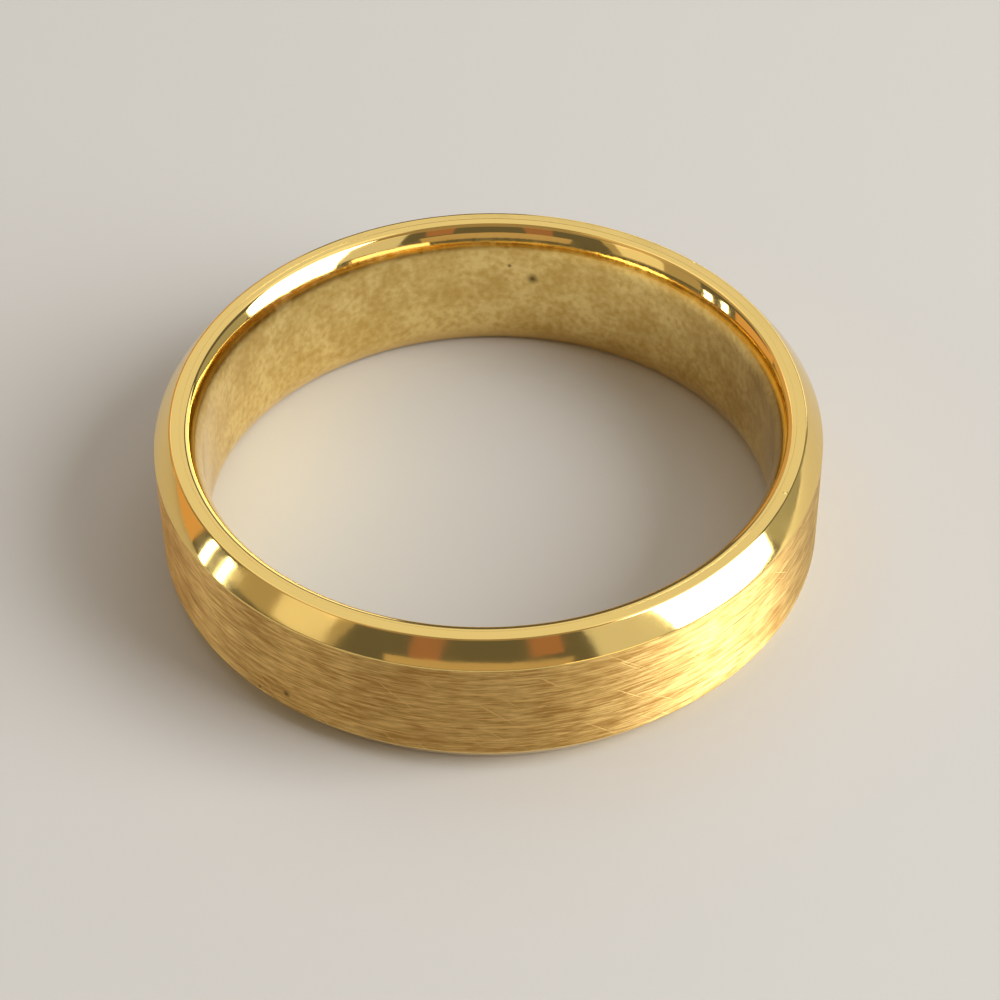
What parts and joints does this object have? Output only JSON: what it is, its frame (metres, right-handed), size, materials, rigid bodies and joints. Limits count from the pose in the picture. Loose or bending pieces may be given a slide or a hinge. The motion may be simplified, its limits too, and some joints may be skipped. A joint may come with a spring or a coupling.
{
  "type": "wedding band",
  "caption": "Flat wedding band with a brushed outer wall, polished bevelled edges and a polished comfort-fit sleeve.",
  "frame": {"origin": "centre of the lower rim, on the surface that the band lies on", "axes": "+Z along the finger hole, up from the lower rim to the upper one; the band is round about Z, so +X and +Y are free"},
  "size_m": [0.0208, 0.0206, 0.005],
  "materials": {
    "brushed_yellow_gold": "14 ct yellow gold, brushed round the wall, with mirror-polished bevels and rims",
    "polished_yellow_gold": "14 ct yellow gold, mirror polished"
  },
  "bodies": {
    "root": {"outer_band": "brushed_yellow_gold", "comfort_fit_sleeve": "polished_yellow_gold"}
  },
  "joints": []
}
